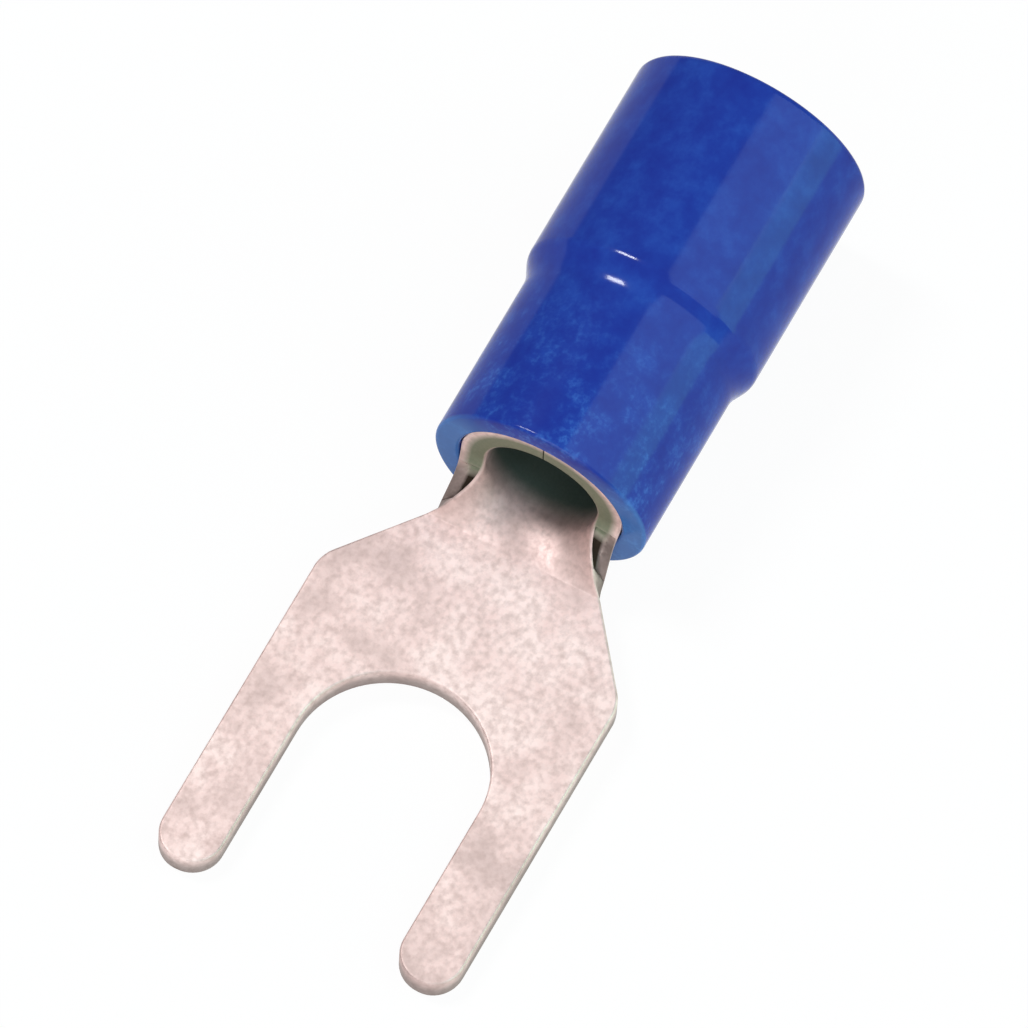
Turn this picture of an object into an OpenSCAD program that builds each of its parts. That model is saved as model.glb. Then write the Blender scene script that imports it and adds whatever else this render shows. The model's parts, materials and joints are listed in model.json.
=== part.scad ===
// Insulated fork terminal for a screw or stud.
// A fork is stamped from tinned copper sheet and its rear end is rolled into a wire barrel.
// A stepped plastic sleeve is pushed over the barrel and reaches back over the wire's insulation.
// Origin: stud centre, on the underside of the fork. +X runs to the wire entry, +Z up from the fork.

/* [Sheet] */
// Thickness of the copper sheet
sheet_t = 0.6; // [0.5:0.05:0.7]

/* [Fork] */
// Width of the slot between the tines, which is the clearance width for the stud
slot_w = 4.3; // [3.7:0.1:5.3]
// Width of each tine
tine_w = 1.42; // [1.1:0.01:2]
// Stud centre to the tips of the tines
tine_l = 4; // [3:0.1:6]
// End of the slot to the corners of the shoulders
shoulder_back = 1.45; // [0.9:0.05:2]
// Slope of the shoulders, from the long axis
shoulder_angle = 38; // [32:1:55]
// Rounding of the shoulder corners
shoulder_r = 0.8; // [0.3:0.1:1.2]

/* [Neck] */
// Width of the neck between the shoulders and the barrel
neck_w = 3.8; // [3.2:0.1:4.4]
// Rounding where the shoulders run into the neck
neck_r = 0.3; // [0.2:0.1:0.5]
// Length of the neck, from the shoulders to the rim of the barrel
neck_l = 0.82; // [0.76:0.02:2]
// How far before the neck, along the slopes, the sheet starts to curl up to the barrel
bend_lead = 0.16; // [0.04:0.02:0.4]
// Rounding of the notch between the neck and the rolled walls of the barrel
notch_r = 0.75; // [0.4:0.05:0.75]

/* [Barrel] */
// Bore of the barrel, which takes the stripped wire
barrel_bore_d = 2.65; // [2.3:0.05:2.8]
// Length of the barrel
barrel_l = 4.6; // [4:0.1:6]
// Gap of the butt seam along the top of the barrel
seam_gap = 0.03; // [0.02:0.01:0.1]
// Chamfer inside the rear end of the barrel
entry_chamfer = 0.25; // [0.1:0.05:0.35]

/* [Sleeve] */
// Bore of the wide end, which takes the wire's insulation
insulation_d = 4.35; // [4.2:0.05:5]
// Wall of the sleeve
sleeve_wall = 0.57; // [0.45:0.01:0.8]
// Gap all round between the barrel and the sleeve
sleeve_fit = 0.02; // [0.01:0.01:0.05]
// How far the sleeve reaches past the front rim of the barrel
sleeve_overhang = 0.08; // [0:0.02:0.3]
// Foot of the outer step to the rear end of the barrel
step_lead = 0.64; // [0.5:0.02:1.2]
// Length of the outer step
step_l = 0.47; // [0.4:0.01:0.8]
// Length of the wide end, behind the step
wide_l = 5; // [3:0.1:8]
// Length of the funnel inside, behind the barrel
funnel_l = 0.6; // [0.4:0.1:1.2]
// Rounding at the foot and at the top of the step
step_r = 0.3; // [0.1:0.1:0.5]
// Rounding of the outer edges
edge_r = 0.15; // [0.05:0.05:0.2]
// Rounding inside the front edge
mouth_r = 0.08; // [0.04:0.02:0.12]
// Rounding inside the rear edge, where the wire goes in
entry_r = 0.2; // [0.05:0.05:0.25]

/* [Hidden] */
$fn = 96;

// Overlap that carries a cut clean through a face
past = slot_w / 4;
// How deep the curled neck is let into the end of the barrel, and how far inside its walls it stays
lap_l = sheet_t / 12;
lap_t = sheet_t / 60;
// How softly the bend sets in: 0 would leave a crease across the sheet
bend_ease = 0.1;
// Least share of the curvature, which keeps the bend's radius finite where the sheet is still flat
least_curl = 1e-6;
// Steps along the slopes in the bend, along the neck, round its notch, across the sheet and round an edge
lead_steps = 4;
neck_steps = 2;
notch_steps = 18;
sheet_steps = 36;
edge_steps = 6;

half_w = slot_w / 2 + tine_w;
shoulder_x = slot_w / 2 + shoulder_back;
shoulder_end_x = shoulder_x + (half_w - neck_w / 2) / tan(shoulder_angle);
neck_x = shoulder_end_x + neck_r * tan(shoulder_angle / 2);
bend_x = neck_x - neck_r * sin(shoulder_angle) - bend_lead;
notch_x = neck_x + neck_l - notch_r;
rim_x = neck_x + neck_l;
barrel_end_x = rim_x + barrel_l;

barrel_inner_r = barrel_bore_d / 2;
barrel_outer_r = barrel_inner_r + sheet_t;
barrel_mean_r = barrel_inner_r + sheet_t / 2;
axis_z = barrel_outer_r;

sleeve_front_x = rim_x - sleeve_overhang;
sleeve_bore_r = barrel_outer_r + sleeve_fit;
narrow_r = sleeve_bore_r + sleeve_wall;
wide_bore_r = insulation_d / 2;
wide_r = wide_bore_r + sleeve_wall;
step_x = barrel_end_x - step_lead;
wide_x = step_x + step_l;
sleeve_end_x = wide_x + wide_l;

// Points of an arc about a centre, from one angle to another.
function arc(centre, r, from, to, steps = edge_steps) =
    [for (i = [0 : steps]) let (a = from + (to - from) * i / steps) centre + r * [cos(a), sin(a)]];

function unit(v) = v / norm(v);

// A corner of an outline, rounded with radius r between its two neighbours.
function round_corner(before, corner, after, r) =
    let (
        a = unit(before - corner),
        b = unit(after - corner),
        half = acos(a * b) / 2,
        centre = corner + unit(a + b) * r / sin(half),
        start = corner + a * r / tan(half) - centre,
        finish = corner + b * r / tan(half) - centre,
        from = atan2(start.y, start.x),
        turn = atan2(finish.y, finish.x) - from,
        short = turn > 180 ? turn - 360 : turn < -180 ? turn + 360 : turn
    )
    arc(centre, r, from, from + short);

// A closed outline from corners, each with the radius of its rounding.
function rounded(corners, radii) =
    let (n = len(corners))
    [
        for (i = [0 : n - 1])
        let (before = corners[(i + n - 1) % n], after = corners[(i + 1) % n])
        each radii[i] == 0 ? [corners[i]] : round_corner(before, corners[i], after, radii[i])
    ];

function mirrored(points) = [for (i = [len(points) - 1 : -1 : 0]) [points[i].x, -points[i].y]];

// Half width of the sheet at x, on the slope of a shoulder.
function slope_y(x) = half_w - (x - shoulder_x) * tan(shoulder_angle);

// Outline of the flat fork, with true circles at the slot and at the tips.
module fork_outline() {
    tip_x = tine_w / 2 - tine_l;
    tine_y = (slot_w + tine_w) / 2;
    side = concat(
        [[tip_x, half_w]],
        round_corner([tip_x, half_w], [shoulder_x, half_w], [shoulder_end_x, neck_w / 2], shoulder_r),
        [[bend_x, slope_y(bend_x)]]
    );
    union() {
        difference() {
            polygon(concat(side, mirrored(side)));
            circle(d = slot_w);
            translate([-tine_l - past, -slot_w / 2]) square([tine_l + past, slot_w]);
        }
        for (y = [-tine_y, tine_y]) translate([tip_x, y]) circle(d = tine_w);
    }
}

// Share of the barrel's curvature that the sheet has at x: none where the bend starts, all of it at the rim.
function curl(x) =
    let (u = min(1, (x - bend_x) / (rim_x - bend_x)))
    sin(90 * u * u * (1 + bend_ease) / (u + bend_ease));

// A point of the curled sheet at x, at s across it from the middle line, and at h above its mid-surface.
function sheet_point(x, s, h) =
    let (bend_r = barrel_mean_r / max(curl(x), least_curl), a = s / bend_r * 180 / PI)
    [x, sin(a) * (bend_r - h), sheet_t / 2 + bend_r - cos(a) * (bend_r - h)];

// Neck of the sheet, lofted from the flat fork to the curve of the barrel.
module curled_neck() {
    // Places along the sheet, each with the half width that the sheet has there.
    stations = concat(
        [for (i = [0 : lead_steps - 1]) let (x = bend_x + bend_lead * i / lead_steps) [x, slope_y(x)]],
        round_corner([shoulder_x, half_w], [shoulder_end_x, neck_w / 2], [rim_x, neck_w / 2], neck_r),
        [for (i = [1 : neck_steps - 1]) [neck_x + (notch_x - neck_x) * i / neck_steps, neck_w / 2]],
        arc([notch_x, neck_w / 2 + notch_r], notch_r, -90, 0, notch_steps),
        [[rim_x + lap_l, neck_w / 2 + notch_r]]
    );
    last = len(stations) - 1;
    row = sheet_steps + 1;
    points = [
        for (i = [0 : last], side = [-1, 1], j = [0 : sheet_steps])
        let (lap = lap_t * min(1, 2 * i / last))
        sheet_point(stations[i].x, stations[i].y * (2 * j / sheet_steps - 1), side * (sheet_t / 2 - lap))
    ];
    // Index of the point in row j of ring i, on the underside or on the upper side.
    function under(i, j) = i * 2 * row + j;
    function upper(i, j) = under(i, j) + row;
    // Each patch of skin is split along the diagonal that leans to the middle line at the neck.
    skins = [
        for (i = [0 : last - 1], j = [0 : sheet_steps - 1])
        each j < sheet_steps / 2
            ? [
                [under(i, j), under(i + 1, j), under(i, j + 1)],
                [under(i, j + 1), under(i + 1, j), under(i + 1, j + 1)],
                [upper(i, j), upper(i, j + 1), upper(i + 1, j)],
                [upper(i, j + 1), upper(i + 1, j + 1), upper(i + 1, j)]
            ]
            : [
                [under(i, j + 1), under(i, j), under(i + 1, j + 1)],
                [under(i, j), under(i + 1, j), under(i + 1, j + 1)],
                [upper(i, j + 1), upper(i + 1, j + 1), upper(i, j)],
                [upper(i, j), upper(i + 1, j + 1), upper(i + 1, j)]
            ]
    ];
    edges = [
        for (i = [0 : last - 1])
        each [
            [under(i, 0), upper(i + 1, 0), under(i + 1, 0)],
            [under(i, 0), upper(i, 0), upper(i + 1, 0)],
            [under(i, sheet_steps), under(i + 1, sheet_steps), upper(i + 1, sheet_steps)],
            [under(i, sheet_steps), upper(i + 1, sheet_steps), upper(i, sheet_steps)]
        ]
    ];
    ends = [
        for (j = [0 : sheet_steps - 1])
        each [
            [under(0, j), under(0, j + 1), upper(0, j + 1), upper(0, j)],
            [under(last, j), upper(last, j), upper(last, j + 1), under(last, j + 1)]
        ]
    ];
    polyhedron(points, concat(skins, edges, ends));
}

// A solid along the barrel's axis, from x towards the wire entry.
module along_axis(x) {
    translate([x, 0, axis_z]) rotate([0, 90, 0]) children();
}

// Rolled tube with its butt seam on top and a chamfer where the wire goes in.
module barrel() {
    difference() {
        along_axis(rim_x) cylinder(r = barrel_outer_r, h = barrel_l);
        along_axis(rim_x - past) cylinder(r = barrel_inner_r, h = barrel_l + 2 * past);
        along_axis(barrel_end_x - entry_chamfer)
            cylinder(r1 = barrel_inner_r, r2 = barrel_inner_r + 2 * entry_chamfer, h = 2 * entry_chamfer);
        translate([rim_x - past, -seam_gap / 2, axis_z])
            cube([barrel_l + 2 * past, seam_gap, barrel_outer_r + past]);
    }
}

// Fork, neck and barrel, stamped and rolled as one piece.
module metal_terminal() {
    color("mistyrose") union() {
        linear_extrude(sheet_t) fork_outline();
        curled_neck();
        barrel();
    }
}

// Moulded tube of two diameters, turned from its half section about the barrel's axis.
module insulating_sleeve() {
    section = rounded(
        [
            [sleeve_front_x, sleeve_bore_r],
            [sleeve_front_x, narrow_r],
            [step_x, narrow_r],
            [wide_x, wide_r],
            [sleeve_end_x, wide_r],
            [sleeve_end_x, wide_bore_r],
            [barrel_end_x + funnel_l, wide_bore_r],
            [barrel_end_x, sleeve_bore_r]
        ],
        [mouth_r, edge_r, step_r, step_r, edge_r, entry_r, 0, 0]
    );
    color("royalblue") along_axis(0) rotate_extrude() polygon([for (p = section) [p.y, p.x]]);
}

metal_terminal();
insulating_sleeve();
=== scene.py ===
# %% [markdown]
# # A fork terminal, dressed around its CAD model
# The real part is two pieces. A fork is stamped out of tinned copper sheet, and its rear end is
# rolled into a barrel for the wire. A stepped sleeve of blue plastic is pushed over the barrel. The
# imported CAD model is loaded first, as a fixed frame, so every new mesh is built at its final size and
# place, in metres, and nothing has to be fitted afterwards.

# %% Load the fixed frame
import json
from math import atan2, cos, pi, radians, sin, tan

import bmesh
import bpy
from mathutils import Matrix, Vector


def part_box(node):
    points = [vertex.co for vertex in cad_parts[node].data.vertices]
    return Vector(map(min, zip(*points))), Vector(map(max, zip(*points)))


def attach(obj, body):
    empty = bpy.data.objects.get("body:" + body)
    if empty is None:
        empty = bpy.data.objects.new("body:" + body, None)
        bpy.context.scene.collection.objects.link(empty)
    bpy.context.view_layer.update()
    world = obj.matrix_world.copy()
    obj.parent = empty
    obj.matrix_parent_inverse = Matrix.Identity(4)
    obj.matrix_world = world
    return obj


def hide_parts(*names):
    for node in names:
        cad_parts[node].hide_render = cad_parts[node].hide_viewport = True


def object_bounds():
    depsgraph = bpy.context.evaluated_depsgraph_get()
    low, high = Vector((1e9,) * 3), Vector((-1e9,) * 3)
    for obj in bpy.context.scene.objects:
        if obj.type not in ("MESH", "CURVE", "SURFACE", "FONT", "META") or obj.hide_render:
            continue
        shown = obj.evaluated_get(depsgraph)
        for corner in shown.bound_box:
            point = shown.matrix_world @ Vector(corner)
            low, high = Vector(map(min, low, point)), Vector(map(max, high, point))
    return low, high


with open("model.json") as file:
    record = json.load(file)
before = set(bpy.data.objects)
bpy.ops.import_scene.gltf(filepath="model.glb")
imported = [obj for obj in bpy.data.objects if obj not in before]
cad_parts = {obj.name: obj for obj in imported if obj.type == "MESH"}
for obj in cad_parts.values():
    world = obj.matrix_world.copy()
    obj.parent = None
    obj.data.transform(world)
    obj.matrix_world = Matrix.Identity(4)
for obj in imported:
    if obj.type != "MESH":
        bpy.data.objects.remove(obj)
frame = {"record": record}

MM = 0.001
cad_low, cad_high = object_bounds()
print("CAD box in mm:", [round(v / MM, 2) for v in (*cad_low, *cad_high)])

# %% [markdown]
# ## Sizes
# Sizes that the CAD model already holds are read from it: the boxes of its two nodes, the slot and
# the two bores. Only what a box can't tell is written down here, such as the slope of the shoulders.
# That way the dressed part follows the CAD model when its length or its bore changes.

# %% Sizes of the terminal
bore_of = {m["name"]: m["dims"].get("r_mm", 0) * MM for m in frame["record"]["mounts"]}
metal_low, metal_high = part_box("metal_terminal")
slot_r = bore_of["stud_slot"]
bore_r = bore_of["wire_barrel"]
barrel_r = metal_high.z / 2
sheet_t = barrel_r - bore_r
mean_r = bore_r + sheet_t / 2
axis_z = barrel_r
tip_x, barrel_end_x, half_w = metal_low.x, metal_high.x, metal_high.y
print("sheet", round(sheet_t / MM, 3), "mm, barrel radius", round(barrel_r / MM, 3), "mm")

# %% Sizes of the shoulders and the neck
shoulder_x = slot_r + 1.45 * MM
shoulder_angle = radians(38)
shoulder_r = 0.8 * MM
neck_half = 1.9 * MM
neck_r = 0.3 * MM
notch_r = 0.75 * MM
shoulder_end_x = shoulder_x + (half_w - neck_half) / tan(shoulder_angle)
neck_x = shoulder_end_x + neck_r * tan(shoulder_angle / 2)
bend_x = neck_x - neck_r * sin(shoulder_angle) - 0.16 * MM
rim_x = neck_x + 0.82 * MM
seam_gap = 0.03 * MM
blank_half = pi * mean_r - seam_gap / 2
print("flat blank", round(2 * blank_half / MM, 2), "mm wide where the barrel is rolled")

# %% [markdown]
# ## The blank: its outline
# The terminal starts as a flat blank, as it does in the press. Its outline could be drawn as a curve,
# but a mesh is easier to cut and roll later. Half a circle makes the round end of the slot. From its
# two open ends the outline is traced by extruding one vertex from corner to corner, with sharp
# corners for now. Edit-mode operators act on what is selected, so a small helper selects vertices,
# edges or faces by place.

# %% Round end of the slot
TINY = 1e-6


def pick(kind, chosen):
    """In edit mode, selects each VERT, EDGE or FACE for which chosen is true, and nothing else."""
    bpy.ops.mesh.select_all(action="DESELECT")
    bpy.ops.mesh.select_mode(type=kind)
    mesh = bmesh.from_edit_mesh(bpy.context.edit_object.data)
    found = [part for part in getattr(mesh, kind.lower() + "s") if chosen(part)]
    for part in found:
        part.select_set(True)
    mesh.select_flush_mode()
    bmesh.update_edit_mesh(bpy.context.edit_object.data)
    return len(found)


bpy.ops.object.select_all(action="DESELECT")
bpy.ops.mesh.primitive_circle_add(vertices=96, radius=slot_r)
terminal = bpy.context.object
terminal.name = "stamped_terminal"
bpy.ops.object.mode_set(mode="EDIT")
pick("VERT", lambda v: v.co.x < -TINY)
bpy.ops.mesh.delete(type="VERT")
print("the slot's end keeps", len(bmesh.from_edit_mesh(terminal.data).verts), "vertices")

# %% Trace both sides from the slot to the rear end
corners = [
    (tip_x, slot_r),
    (tip_x, half_w),
    (shoulder_x, half_w),
    (shoulder_end_x, neck_half),
    (rim_x, neck_half),
    (rim_x, blank_half),
    (barrel_end_x, blank_half),
]
for side in (1, -1):
    pick("VERT", lambda v: abs(v.co.x) < TINY and v.co.y * side > 0)
    here = Vector((0, side * slot_r, 0))
    for x, y in corners:
        step = Vector((x, side * y, 0)) - here
        bpy.ops.mesh.extrude_region_move(TRANSFORM_OT_translate={"value": step})
        here += step
pick("VERT", lambda v: v.co.x > barrel_end_x - TINY)
bpy.ops.mesh.edge_face_add()
print("outline of", len(bmesh.from_edit_mesh(terminal.data).edges), "edges")

# %% [markdown]
# ## The blank: its corners
# A press tool has no sharp corners. A vertex bevel turns each corner into an arc, and the length that
# it takes from either side of a corner is the radius times the tangent of half the turn. At the tips
# the two arcs of a tine meet in the middle, where their end vertices are merged.

# %% Round the corners
tine_w = half_w - slot_r
for x, y, leg, steps in (
    (tip_x, slot_r, tine_w / 2, 12),
    (tip_x, half_w, tine_w / 2, 12),
    (shoulder_x, half_w, shoulder_r * tan(shoulder_angle / 2), 10),
    (shoulder_end_x, neck_half, neck_r * tan(shoulder_angle / 2), 8),
    (rim_x, neck_half, notch_r, 16),
):
    pick("VERT", lambda v: abs(v.co.x - x) < TINY and abs(abs(v.co.y) - y) < TINY)
    bpy.ops.mesh.bevel(offset=leg, segments=steps, affect="VERTICES", clamp_overlap=False)
bpy.ops.mesh.select_all(action="SELECT")
bpy.ops.mesh.remove_doubles(threshold=TINY)
bpy.ops.mesh.select_all(action="SELECT")
bpy.ops.mesh.edge_face_add()
print("rounded outline of", len(bmesh.from_edit_mesh(terminal.data).verts), "vertices in one face")

# %% [markdown]
# ## The blank: thickness and sheared edges
# The face is extruded to the sheet's thickness. A punch draws the upper edge of the sheet in before
# it cuts, which leaves a soft roll on top, and it leaves a crisp edge below. Bevels of two sizes give
# that, while the blank is still flat and its edges are easy to find. The far end of the barrel is
# chamfered inside, so that strands of wire slip in.

# %% Thickness
bpy.ops.mesh.select_all(action="SELECT")
bpy.ops.mesh.extrude_region_move(TRANSFORM_OT_translate={"value": (0, 0, sheet_t)})
bpy.ops.mesh.select_all(action="SELECT")
bpy.ops.mesh.normals_make_consistent(inside=False)
print("slab of", len(bmesh.from_edit_mesh(terminal.data).faces), "faces")

# %% Chamfer, die roll and lower edge
entry_chamfer = 0.25 * MM
die_roll = 0.06 * MM
lower_edge = 0.04 * MM


def at_height(edge, z):
    return all(abs(v.co.z - z) < TINY for v in edge.verts)


def beside_wall(edge):
    return any(abs(face.normal.z) < 0.1 for face in edge.link_faces)


pick("EDGE", lambda e: at_height(e, sheet_t) and all(v.co.x > barrel_end_x - TINY for v in e.verts))
bpy.ops.mesh.bevel(offset=entry_chamfer, segments=1, affect="EDGES", clamp_overlap=False)
rolled_edges = pick("EDGE", lambda e: at_height(e, sheet_t) and beside_wall(e))
bpy.ops.mesh.bevel(offset=die_roll, segments=5, affect="EDGES", clamp_overlap=False)
lower_edges = pick("EDGE", lambda e: at_height(e, 0) and beside_wall(e))
bpy.ops.mesh.bevel(offset=lower_edge, segments=2, affect="EDGES", clamp_overlap=False)
print("rounded", rolled_edges, "upper and", lower_edges, "lower edges")

# %% [markdown]
# ## The blank: torn notches
# In the tight curve of a notch the punch tears the sheet more than it cuts it, and leaves a rough
# hollow between two lips. It could be painted on, but then it would look flat from the side.
# Insetting the faces of the wall and pushing them in makes a real hollow, and a little random
# movement with a fixed seed makes it rough.

# %% Torn hollow in each notch
tear_from, tear_to = neck_x + 0.1 * MM, rim_x - 0.12 * MM
lip, hollow_depth, hollow_rise, roughening = 0.1 * MM, 0.14 * MM, 0.05 * MM, 0.02 * MM


def in_notch(face):
    middle = face.calc_center_median()
    beside_neck = neck_half - TINY < abs(middle.y) < neck_half + notch_r
    return abs(face.normal.z) < 0.1 and tear_from < middle.x < tear_to and beside_neck


torn_faces = pick("FACE", in_notch)
bpy.ops.mesh.inset(thickness=lip, depth=-hollow_depth)
bpy.ops.transform.translate(value=(0, 0, hollow_rise))
bpy.ops.transform.vertex_random(offset=roughening, seed=5)
print("tore a hollow out of", torn_faces, "faces")

# %% [markdown]
# ## The blank: rolled into a barrel
# The neck curls up from flat to round, and behind its rim the sheet is a tube with its two edges
# butted on top. A face can't bend, so the rear of the blank is first cut into narrow strips with
# bisect. No operator rolls a sheet by a growing amount, so the vertices are then moved in code: each
# keeps its distance from the middle of the sheet, and the curvature grows from the shoulders to the
# rim along a quarter of a sine wave, which is eased at its start so that no crease is left across the
# neck. The height of each vertex in the flat sheet is kept as an attribute, which tells the material
# later where the sheared walls are.

# %% Keep the height in the sheet
bpy.ops.object.mode_set(mode="OBJECT")
height = terminal.data.attributes.new("sheet_height", "FLOAT", "POINT")
height.data.foreach_set("value", [v.co.z / sheet_t for v in terminal.data.vertices])
print("kept the height of", len(height.data), "vertices")

# %% Cut the rear of the blank into strips
bpy.ops.object.mode_set(mode="EDIT")
bend_steps = 36
roll_steps = 72
bend_l = rim_x - bend_x
bend_ease = 0.1
cuts = [((bend_x + bend_l * i / bend_steps, 0, 0), (1, 0, 0)) for i in range(bend_steps + 1)]
cuts += [((0, blank_half * (2 * i / roll_steps - 1), 0), (0, 1, 0)) for i in range(1, roll_steps)]
for number, (point, across) in enumerate(cuts):
    pick("FACE", lambda f: number == 0 or f.calc_center_median().x > bend_x)
    bpy.ops.mesh.bisect(plane_co=point, plane_no=across, threshold=TINY / 10)
print("cut into", len(bmesh.from_edit_mesh(terminal.data).faces), "faces")

# %% Roll
bpy.ops.object.mode_set(mode="OBJECT")


def rolled(point):
    done = min(1, (point.x - bend_x) / bend_l)
    share = sin(pi / 2 * done * done * (1 + bend_ease) / (done + bend_ease))
    bend_r = mean_r / share
    turn = point.y / bend_r
    reach = bend_r - (point.z - sheet_t / 2)
    return Vector((point.x, sin(turn) * reach, sheet_t / 2 + bend_r - cos(turn) * reach))


for vertex in terminal.data.vertices:
    if vertex.co.x > bend_x + TINY:
        vertex.co = rolled(vertex.co)
terminal.data.update()
print("barrel top at", round(max(v.co.z for v in terminal.data.vertices) / MM, 3), "mm")

# %% [markdown]
# ## The blank: smooth shading
# The faces of the die roll meet at small angles and should look round, while the flat top should stay
# flat. Shading smooth by angle does the first. The Weighted Normal modifier does the second, because
# it lets the large flat faces decide the shading where they meet the small round ones.

# %% Shade and hand over


def shade(piece, angle):
    bpy.ops.object.select_all(action="DESELECT")
    piece.select_set(True)
    bpy.context.view_layer.objects.active = piece
    bpy.ops.object.shade_smooth_by_angle(angle=angle)
    weighted = piece.modifiers.new("even_shading", "WEIGHTED_NORMAL")
    weighted.keep_sharp = True
    bpy.ops.object.modifier_apply(modifier=weighted.name)


shade(terminal, radians(40))
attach(terminal, "root")
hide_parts("metal_terminal")
print(terminal.name, "has", len(terminal.data.polygons), "faces")

# %% [markdown]
# ## The sleeve
# The sleeve is a moulded tube with a narrow front over the barrel, a short sloping step, and a wide
# rear that takes the insulation of the wire. A tube of one shape all round is best turned: its wall
# is drawn once as a flat section and spun about the axis. The section starts as a plane as long as
# the sleeve. Bisect marks where the step and the inner funnel begin and end, and the wide end is then
# moved outwards.

# %% Sizes of the sleeve
sleeve_low, sleeve_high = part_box("insulating_sleeve")
front_x, rear_x = sleeve_low.x, sleeve_high.x
wide_r = min(sleeve_high.y, sleeve_high.z - axis_z) - TINY / 10
wide_bore_r = bore_of["insulation_entry"]
wall = wide_r - wide_bore_r
sleeve_bore_r = barrel_r + 0.02 * MM
narrow_r = sleeve_bore_r + wall
step_x = barrel_end_x - 0.64 * MM
wide_x = step_x + 0.47 * MM
funnel_x = barrel_end_x + 0.6 * MM
print("sleeve", round((rear_x - front_x) / MM, 2), "mm long, wall", round(wall / MM, 2), "mm")

# %% Flat section of the wall
bpy.ops.object.select_all(action="DESELECT")
bpy.ops.mesh.primitive_plane_add(
    size=1,
    location=((front_x + rear_x) / 2, 0, axis_z + (sleeve_bore_r + narrow_r) / 2),
    rotation=(pi / 2, 0, 0),
)
sleeve = bpy.context.object
sleeve.name = "moulded_sleeve"
bpy.ops.transform.resize(value=(rear_x - front_x, 1, wall))
bpy.ops.object.transform_apply(location=True, rotation=True, scale=True)
bpy.ops.object.mode_set(mode="EDIT")
for x in (step_x, wide_x, barrel_end_x, funnel_x):
    bpy.ops.mesh.select_all(action="SELECT")
    bpy.ops.mesh.bisect(plane_co=(x, 0, 0), plane_no=(1, 0, 0), threshold=TINY / 10)
middle_z = axis_z + (sleeve_bore_r + narrow_r) / 2
pick("VERT", lambda v: v.co.z > middle_z and v.co.x > wide_x - TINY)
bpy.ops.transform.translate(value=(0, 0, wide_r - narrow_r))
pick("VERT", lambda v: v.co.z < middle_z and v.co.x > funnel_x - TINY)
bpy.ops.transform.translate(value=(0, 0, wide_bore_r - sleeve_bore_r))
bpy.ops.mesh.select_all(action="SELECT")
bpy.ops.mesh.dissolve_limited(angle_limit=radians(1))
print("section with", len(bmesh.from_edit_mesh(sleeve.data).verts), "corners")

# %% Round the corners of the section
front_r = mouth_r = 0.08 * MM
foot_r = 0.8 * MM
step_r = 0.4 * MM
edge_r = 0.15 * MM
entry_r = 0.2 * MM
step_turn = atan2(wide_r - narrow_r, wide_x - step_x)
for x, r, leg in (
    (front_x, narrow_r, front_r),
    (front_x, sleeve_bore_r, mouth_r),
    (step_x, narrow_r, foot_r * tan(step_turn / 2)),
    (wide_x, wide_r, step_r * tan(step_turn / 2)),
    (rear_x, wide_r, edge_r),
    (rear_x, wide_bore_r, entry_r),
):
    pick("VERT", lambda v: abs(v.co.x - x) < TINY and abs(v.co.z - axis_z - r) < TINY)
    bpy.ops.mesh.bevel(offset=leg, segments=6, affect="VERTICES", clamp_overlap=False)
print("rounded section with", len(bmesh.from_edit_mesh(sleeve.data).verts), "vertices")

# %% [markdown]
# Spin turns the outline of the section about the axis. The flat face itself is deleted first, or it
# would be left inside the wall. The first and last outline fall on each other and are merged, and the
# normals are made to point outwards after that.

# %% Spin the section
bpy.ops.mesh.select_all(action="SELECT")
bpy.ops.mesh.delete(type="ONLY_FACE")
bpy.ops.mesh.select_all(action="SELECT")
bpy.ops.mesh.spin(steps=160, angle=2 * pi, center=(0, 0, axis_z), axis=(1, 0, 0))
bpy.ops.mesh.select_all(action="SELECT")
bpy.ops.mesh.remove_doubles(threshold=TINY)
bpy.ops.mesh.select_all(action="SELECT")
bpy.ops.mesh.normals_make_consistent(inside=False)
bpy.ops.object.mode_set(mode="OBJECT")
shade(sleeve, radians(40))
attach(sleeve, "root")
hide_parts("insulating_sleeve")
print(sleeve.name, "has", len(sleeve.data.polygons), "faces")

# %% [markdown]
# ## Tools for the materials
# Every finish is made of shader nodes. One helper adds a node, sets its properties, fills its inputs
# with either a plain value or the output of an earlier node, and sets the stops of a colour ramp.
# Colours are written as the sRGB hex values that a colour picker shows, and turned into the linear
# values that the shader wants. Pattern scales are given in millimetres.

# %% Node and colour helpers


def colour(code):
    parts = [int(code[i : i + 2], 16) / 255 for i in (1, 3, 5)]
    linear = [p / 12.92 if p <= 0.04045 else ((p + 0.055) / 1.055) ** 2.4 for p in parts]
    return (*linear, 1)


def add(tree, kind, inputs=(), stops=(), **settings):
    made = tree.nodes.new("ShaderNode" + kind)
    for name, value in settings.items():
        setattr(made, name, value)
    for name, value in dict(inputs).items():
        if isinstance(value, bpy.types.NodeSocket):
            tree.links.new(value, made.inputs[name])
        else:
            made.inputs[name].default_value = value
    for number, (position, code) in enumerate(stops):
        points = made.color_ramp.elements
        point = points.new(position) if 0 < number < len(stops) - 1 else points[-1 if number else 0]
        point.position, point.color = position, colour(code)
    return made


def per_mm(size):
    return 1 / (size * MM)


def new_material(name, piece):
    made = bpy.data.materials.new(name)
    made.use_nodes = True
    made.node_tree.nodes.clear()
    piece.data.materials.clear()
    piece.data.materials.append(made)
    return made.node_tree


print("red 0.5 in linear light is", round(colour("#800000")[0], 3))

# %% [markdown]
# ## Matte tin on copper
# The copper is plated with matte tin, a warm white metal with a fine grain. Metallic is 1 and the
# roughness about two thirds, so the surface gathers light from a wide angle and looks almost chalky
# where it faces the light. A broad noise gives the pale and the dull patches that handling leaves,
# and a finer one gives small brownish specks. The grain itself is only a few micrometres wide, so it
# is drawn coarser, at 0.07 mm, to show at all.

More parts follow.
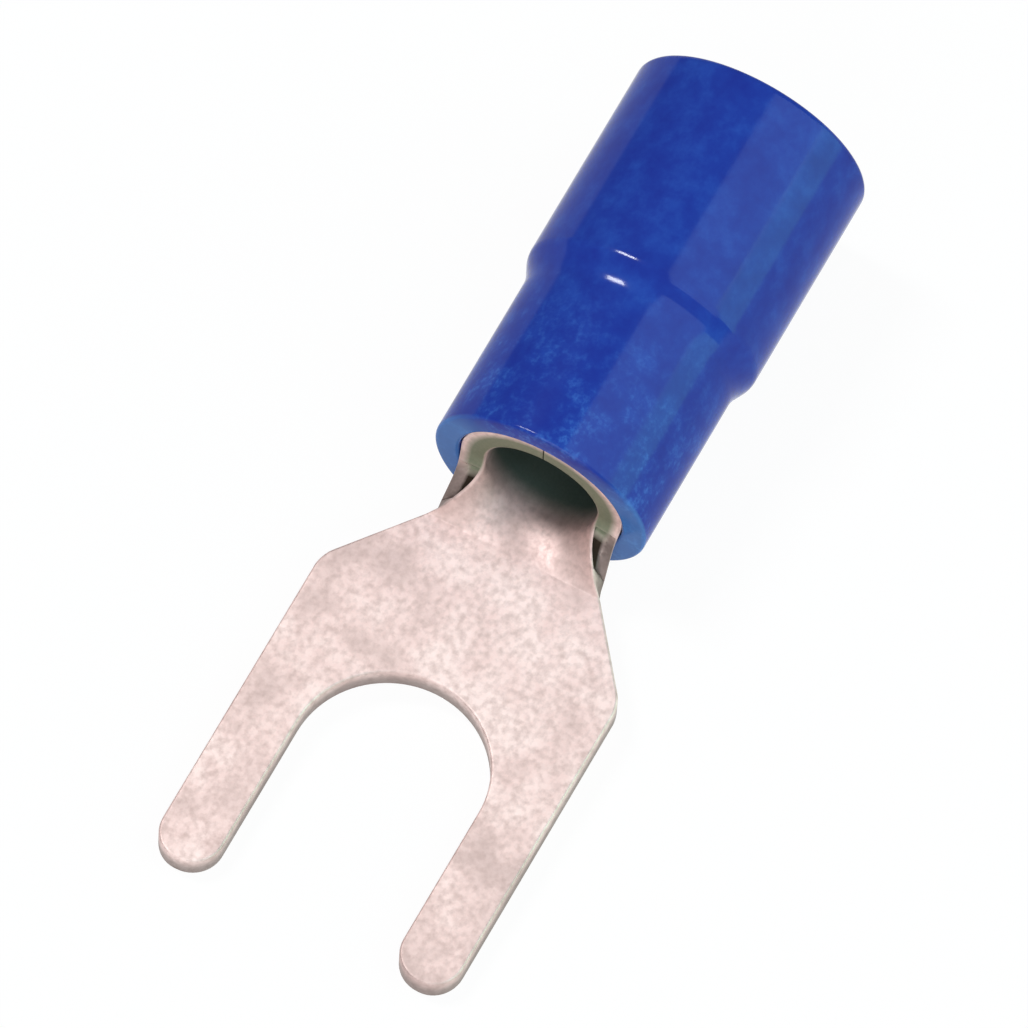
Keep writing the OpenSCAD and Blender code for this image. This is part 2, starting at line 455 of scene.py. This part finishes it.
# %% Patches and specks of the tin
tin = new_material("matte_tin_plated_copper", terminal)
place = add(tin, "TexCoord").outputs["Object"]
patches = {"Vector": place, "Scale": per_mm(1.5), "Detail": 3, "Roughness": 0.55}
patches = add(tin, "TexNoise", patches).outputs["Fac"]
cloud = {"Vector": place, "Scale": per_mm(0.16), "Detail": 3, "Roughness": 0.5}
cloud = add(tin, "TexNoise", cloud).outputs["Fac"]
pale = ((0.34, "#DEC7C2"), (0.5, "#F2DAD5"), (0.64, "#FAE6E1"))
pale = add(tin, "ValToRGB", {"Fac": patches}, pale).outputs["Color"]
specks = ((0.3, "#C8C8C8"), (0.6, "#000000"))
specks = add(tin, "ValToRGB", {"Fac": cloud}, specks).outputs["Color"]
speckled = {0: specks, 6: pale, 7: colour("#CAB2AC")}
speckled = add(tin, "Mix", speckled, data_type="RGBA").outputs[2]
print("tin has", len(tin.nodes), "nodes for its patches and specks")

# %% [markdown]
# The sheared walls are greyer than the faces: brighter above, where the punch cut, and dull below,
# where the metal tore. Part of that grey is painted shade, for walls that face away from the light.
# In the notches beside the neck the torn hollow is painted dark brown as painted shade, and the rim
# and the inside of the barrel are painted greenish grey as painted shade. The height in the sheet
# tells wall from face, and the place along the part tells the notches from the rim.

# %% Sheared walls, partly painted shade
along = add(tin, "SeparateXYZ", {"Vector": place}).outputs["X"]
sheet_height = add(tin, "Attribute", attribute_name="sheet_height").outputs["Fac"]
rim_from, rim_to = rim_x - 0.25 * MM, rim_x - 0.1 * MM
before_rim = {"Value": along, "From Min": rim_to, "From Max": rim_from}
before_rim = add(tin, "MapRange", before_rim).outputs["Result"]
walls = ((0, "#000000"), (0.05, "#E0E0E0"), (0.45, "#CBCBCB"), (0.72, "#898989"), (1, "#000000"))
walls = add(tin, "ValToRGB", {"Fac": sheet_height}, walls).outputs["Color"]
walls = add(tin, "Math", {0: walls, 1: before_rim}, operation="MULTIPLY").outputs[0]
# Painted shade: part of the grey of the walls stands for shade on walls turned away from the light.
walls_grey_and_shaded = {0: walls, 6: speckled, 7: colour("#6E6661")}
walls_grey_and_shaded = add(tin, "Mix", walls_grey_and_shaded, data_type="RGBA").outputs[2]
print("walls are grey up to", round(rim_from / MM, 2), "mm along the part")

# %% Painted shade in the torn notches
notch_shade_band = ((0.3, "#000000"), (0.45, "#FFFFFF"), (0.75, "#FFFFFF"), (0.88, "#000000"))
notch_shade_band = add(tin, "ValToRGB", {"Fac": sheet_height}, notch_shade_band).outputs["Color"]
notches = {"Value": along, "From Min": tear_from - 0.1 * MM, "From Max": tear_from + 0.1 * MM}
notches = add(tin, "MapRange", notches).outputs["Result"]
notches = add(tin, "Math", {0: notches, 1: before_rim}, operation="MULTIPLY").outputs[0]
tear = add(tin, "Math", {0: notches, 1: notch_shade_band}, operation="MULTIPLY").outputs[0]
# Painted shade: the torn hollow of each notch is painted dark brown.
notch_painted_shade = {0: tear, 6: walls_grey_and_shaded, 7: colour("#3C332B")}
notch_painted_shade = add(tin, "Mix", notch_painted_shade, data_type="RGBA").outputs[2]
print("the tear begins", round(tear_from / MM, 2), "mm along the part")

# %% Painted shade on the rim of the barrel
at_rim = {"Value": along, "From Min": rim_from, "From Max": rim_to}
at_rim = add(tin, "MapRange", at_rim).outputs["Result"]
edge = ((0.15, "#404040"), (0.45, "#FFFFFF"), (0.9, "#FFFFFF"), (1, "#000000"))
edge = add(tin, "ValToRGB", {"Fac": sheet_height}, edge).outputs["Color"]
edge = add(tin, "Math", {0: edge, 1: at_rim}, operation="MULTIPLY").outputs[0]
# Painted shade: the rim and the inner side just behind it are painted olive grey.
rim_painted_shade = {0: edge, 6: notch_painted_shade, 7: colour("#8E9580")}
rim_painted_shade = add(tin, "Mix", rim_painted_shade, data_type="RGBA").outputs[2]
print("the rim is dull from", round(rim_to / MM, 2), "mm along the part")

# %% Painted shade inside the barrel
inside_from, inside_to = rim_x - 0.1 * MM, rim_x + 0.55 * MM
inside = {"Value": along, "From Min": inside_from, "From Max": inside_to}
inside = add(tin, "MapRange", inside, interpolation_type="SMOOTHSTEP").outputs["Result"]
face = ((0.9, "#000000"), (1, "#FFFFFF"))
face = add(tin, "ValToRGB", {"Fac": sheet_height}, face).outputs["Color"]
inside = add(tin, "Math", {0: inside, 1: face}, operation="MULTIPLY").outputs[0]
# Painted shade: the inside of the barrel is painted darker and greenish, deeper into the tube.
inside_painted_shade = {0: inside, 6: rim_painted_shade, 7: colour("#70827A")}
inside_painted_shade = add(tin, "Mix", inside_painted_shade, data_type="RGBA").outputs[2]
print("the inside is dull from", round(inside_to / MM, 2), "mm along the part")

# %% Surface of the tin
grain = add(tin, "TexNoise", {"Vector": place, "Scale": per_mm(0.07), "Detail": 2}).outputs["Fac"]
matte = {"Value": grain, "From Min": 0.3, "From Max": 0.7, "To Min": 0.58, "To Max": 0.7}
matte = add(tin, "MapRange", matte).outputs["Result"]
bumps = {"Height": grain, "Strength": 0.12, "Distance": 0.01 * MM}
bumps = add(tin, "Bump", bumps).outputs["Normal"]
surface = {"Base Color": inside_painted_shade, "Metallic": 1, "Roughness": matte, "Normal": bumps}
surface = add(tin, "BsdfPrincipled", surface).outputs["BSDF"]
add(tin, "OutputMaterial", {"Surface": surface})
print("tin has", len(tin.nodes), "nodes")

# %% [markdown]
# ## Moulded blue plastic
# The sleeve is moulded from plastic that is dyed through, in the blue that marks the wire size. The
# dye is a little uneven. Pale flecks at the narrow front are painted highlights, standing in for the
# glints of the key lamp on the rough surface there. The flat front end is painted paler at its sides,
# a painted highlight where light from the front falls on it. The gloss is a thin, weak coat over an
# almost matt body. That keeps the edges of the sleeve blue, which would turn white from the floor
# with the strong edge reflection of a plain gloss.

# %% Dye and painted glints
plastic = new_material("moulded_blue_plastic", sleeve)
place = add(plastic, "TexCoord").outputs["Object"]
where = add(plastic, "SeparateXYZ", {"Vector": place}).outputs
flow = {"Vector": place, "Scale": per_mm(0.7), "Detail": 4, "Roughness": 0.6}
flow = add(plastic, "TexNoise", flow).outputs["Fac"]
skin = {"Vector": place, "Scale": per_mm(0.14), "Detail": 3, "Roughness": 0.6}
skin = add(plastic, "TexNoise", skin).outputs["Fac"]
dye = ((0.32, "#1B308E"), (0.5, "#1D3896"), (0.68, "#2244A0"))
dye = add(plastic, "ValToRGB", {"Fac": flow}, dye).outputs["Color"]
flecks = ((0.46, "#000000"), (0.68, "#FFFFFF"))
flecks = add(plastic, "ValToRGB", {"Fac": skin}, flecks).outputs["Color"]
clusters = ((0.42, "#404040"), (0.62, "#FFFFFF"))
clusters = add(plastic, "ValToRGB", {"Fac": flow}, clusters).outputs["Color"]
glints_near_front = {"Value": where["X"], "From Min": front_x, "From Max": step_x, "To Min": 0.6, "To Max": 0.05}
glints_near_front = add(plastic, "MapRange", glints_near_front).outputs["Result"]
flecks = add(plastic, "Math", {0: flecks, 1: clusters}, operation="MULTIPLY").outputs[0]
flecks = add(plastic, "Math", {0: flecks, 1: glints_near_front}, operation="MULTIPLY").outputs[0]
# Painted highlight: pale flecks near the front stand for the glints of the key lamp.
dye_and_painted_glints = {0: flecks, 6: dye, 7: colour("#4074C4")}
dye_and_painted_glints = add(plastic, "Mix", dye_and_painted_glints, data_type="RGBA").outputs[2]
print("plastic has", len(plastic.nodes), "nodes for its dye and flecks")

# %% Painted highlight on the front end
end_from, end_to = front_x + 0.1 * MM, front_x + 0.04 * MM
front_highlight = {"Value": where["X"], "From Min": end_from, "From Max": end_to, "To Max": 0.4}
front_highlight = add(plastic, "MapRange", front_highlight).outputs["Result"]
sides = {"Value": where["Z"], "From Min": axis_z + 2.1 * MM, "From Max": axis_z + 1.1 * MM}
sides = add(plastic, "MapRange", sides).outputs["Result"]
front_highlight = add(plastic, "Math", {0: front_highlight, 1: sides}, operation="MULTIPLY").outputs[0]
# Painted highlight: the sides of the front end are painted paler, where light from the front falls.
dye_and_highlights = {0: front_highlight, 6: dye_and_painted_glints, 7: colour("#5A96C8")}
dye_and_highlights = add(plastic, "Mix", dye_and_highlights, data_type="RGBA").outputs[2]
print("the front end is paler for", round((end_from - front_x) / MM, 2), "mm")

# %% Surface of the plastic
gloss = {"Value": flow, "From Min": 0.3, "From Max": 0.7, "To Min": 0.1, "To Max": 0.16}
gloss = add(plastic, "MapRange", gloss).outputs["Result"]
bumps = {"Height": skin, "Strength": 0.06, "Distance": 0.01 * MM}
bumps = add(plastic, "Bump", bumps).outputs["Normal"]
surface = {"Base Color": dye_and_highlights, "Roughness": gloss, "Specular IOR Level": 0.03, "Normal": bumps}
surface |= {"Coat Weight": 0.05, "Coat IOR": 4, "Coat Roughness": 0.13, "Coat Normal": bumps}
surface = add(plastic, "BsdfPrincipled", surface).outputs["BSDF"]
add(plastic, "OutputMaterial", {"Surface": surface})
print("plastic has", len(plastic.nodes), "nodes")

# %% [markdown]
# ## Floor
# The part lies on a pale floor, on the tips of its tines and on the wide end of its sleeve, so the
# floor is laid just under those points. The camera, mirrors and glass see most of it as plain white
# paper, and the rest is lit in the usual way, so that a soft shadow stays under the part.

# %% Pale floor
slope = atan2(cad_low.z, wide_x - tip_x)
bpy.ops.object.select_all(action="DESELECT")
bpy.ops.mesh.primitive_plane_add(size=4, location=(tip_x, 0, -0.02 * MM), rotation=(0, -slope, 0))
floor = bpy.context.object
floor.name = "floor"
paper = new_material("white_paper", floor)
path = add(paper, "LightPath").outputs
seen = {0: path["Is Camera Ray"], 1: path["Is Glossy Ray"]}
seen = add(paper, "Math", seen, operation="MAXIMUM").outputs[0]
seen = {0: seen, 1: path["Is Transmission Ray"]}
seen = add(paper, "Math", seen, operation="MAXIMUM").outputs[0]
white_share = add(paper, "Math", {0: seen, 1: 0.95}, operation="MULTIPLY").outputs[0]
matte = add(paper, "BsdfDiffuse", {"Color": colour("#F4F4F4")}).outputs[0]
bright = add(paper, "Emission", {"Color": (1, 1, 1, 1), "Strength": 1}).outputs[0]
both = add(paper, "MixShader", {0: white_share, 1: matte, 2: bright}).outputs[0]
add(paper, "OutputMaterial", {"Surface": both})
print("floor slopes", round(slope / radians(1), 2), "degrees to the sleeve")

# %% [markdown]
# ## Light
# A large, slightly cool softbox hangs above and to the right of the part, and is mirrored as the
# paler band along the sleeve. A narrow key lamp on the left lights the tin and puts the short glints
# on the step. A weak fill in front reaches the rim of the barrel, and a low panel on the right lifts
# that side of the sleeve. The world adds a plain even light. Each lamp is placed by a direction from
# the part, and its strength is worked out from how bright its face should look.

# %% Lamps and world
lamp_centre = (cad_low + cad_high) / 2


def lamp(name, towards, distance, size, brightness, tint="#FFFFFF"):
    data = bpy.data.lights.new(name, "AREA")
    data.shape = "RECTANGLE"
    data.size, data.size_y = size
    data.color = colour(tint)[:3]
    data.energy = brightness * pi * size[0] * size[1]
    made = bpy.data.objects.new(name, data)
    bpy.context.scene.collection.objects.link(made)
    away = Vector(towards).normalized()
    made.location = lamp_centre + distance * away
    made.rotation_euler = away.to_track_quat("Z", "Y").to_euler()
    return made


lamp("softbox", (0.09, -0.64, 0.76), 0.5, (0.5, 0.5), 1.6, "#D4F0FA")
lamp("key_lamp", (0.06, 0.47, 0.87), 0.5, (0.07, 0.15), 39)
lamp("front_fill", (-0.85, -0.1, 0.5), 0.5, (0.4, 0.3), 2.5)
lamp("side_panel", (0.36, -0.93, 0.06), 0.5, (0.5, 0.36), 2.3, "#BCFFD4")
world = bpy.context.scene.world or bpy.data.worlds.new("studio")
bpy.context.scene.world = world
world.use_nodes = True
world.node_tree.nodes["Background"].inputs["Color"].default_value = (1, 1, 1, 1)
world.node_tree.nodes["Background"].inputs["Strength"].default_value = 0.2
bpy.context.scene.view_settings.view_transform = "Standard"

# %% [markdown]
# ## Camera
# The photograph looks down on the fork from in front, a little from its right side, through a long
# lens. The camera is placed by azimuth, elevation and distance from the point that it looks at, and
# then rolled about its line of sight.

# %% Camera at the photograph's angle
target = Vector((5.841, 0.203, 1.9)) * MM
azimuth, elevation, roll = radians(-65.1), radians(65.51), radians(3.83)
distance = 450.5 * MM
back = Vector((sin(azimuth) * cos(elevation), -cos(azimuth) * cos(elevation), sin(elevation)))
view = bpy.data.cameras.new("camera")
view.sensor_width = 36
view.lens = 752
view.clip_start = 0.01
camera = bpy.data.objects.new("camera", view)
bpy.context.scene.collection.objects.link(camera)
turn = back.to_track_quat("Z", "Y").to_matrix() @ Matrix.Rotation(roll, 3, "Z")
camera.matrix_world = Matrix.Translation(target + distance * back) @ turn.to_4x4()
bpy.context.scene.camera = camera
print("camera at", [round(v / MM, 1) for v in camera.location], "mm")
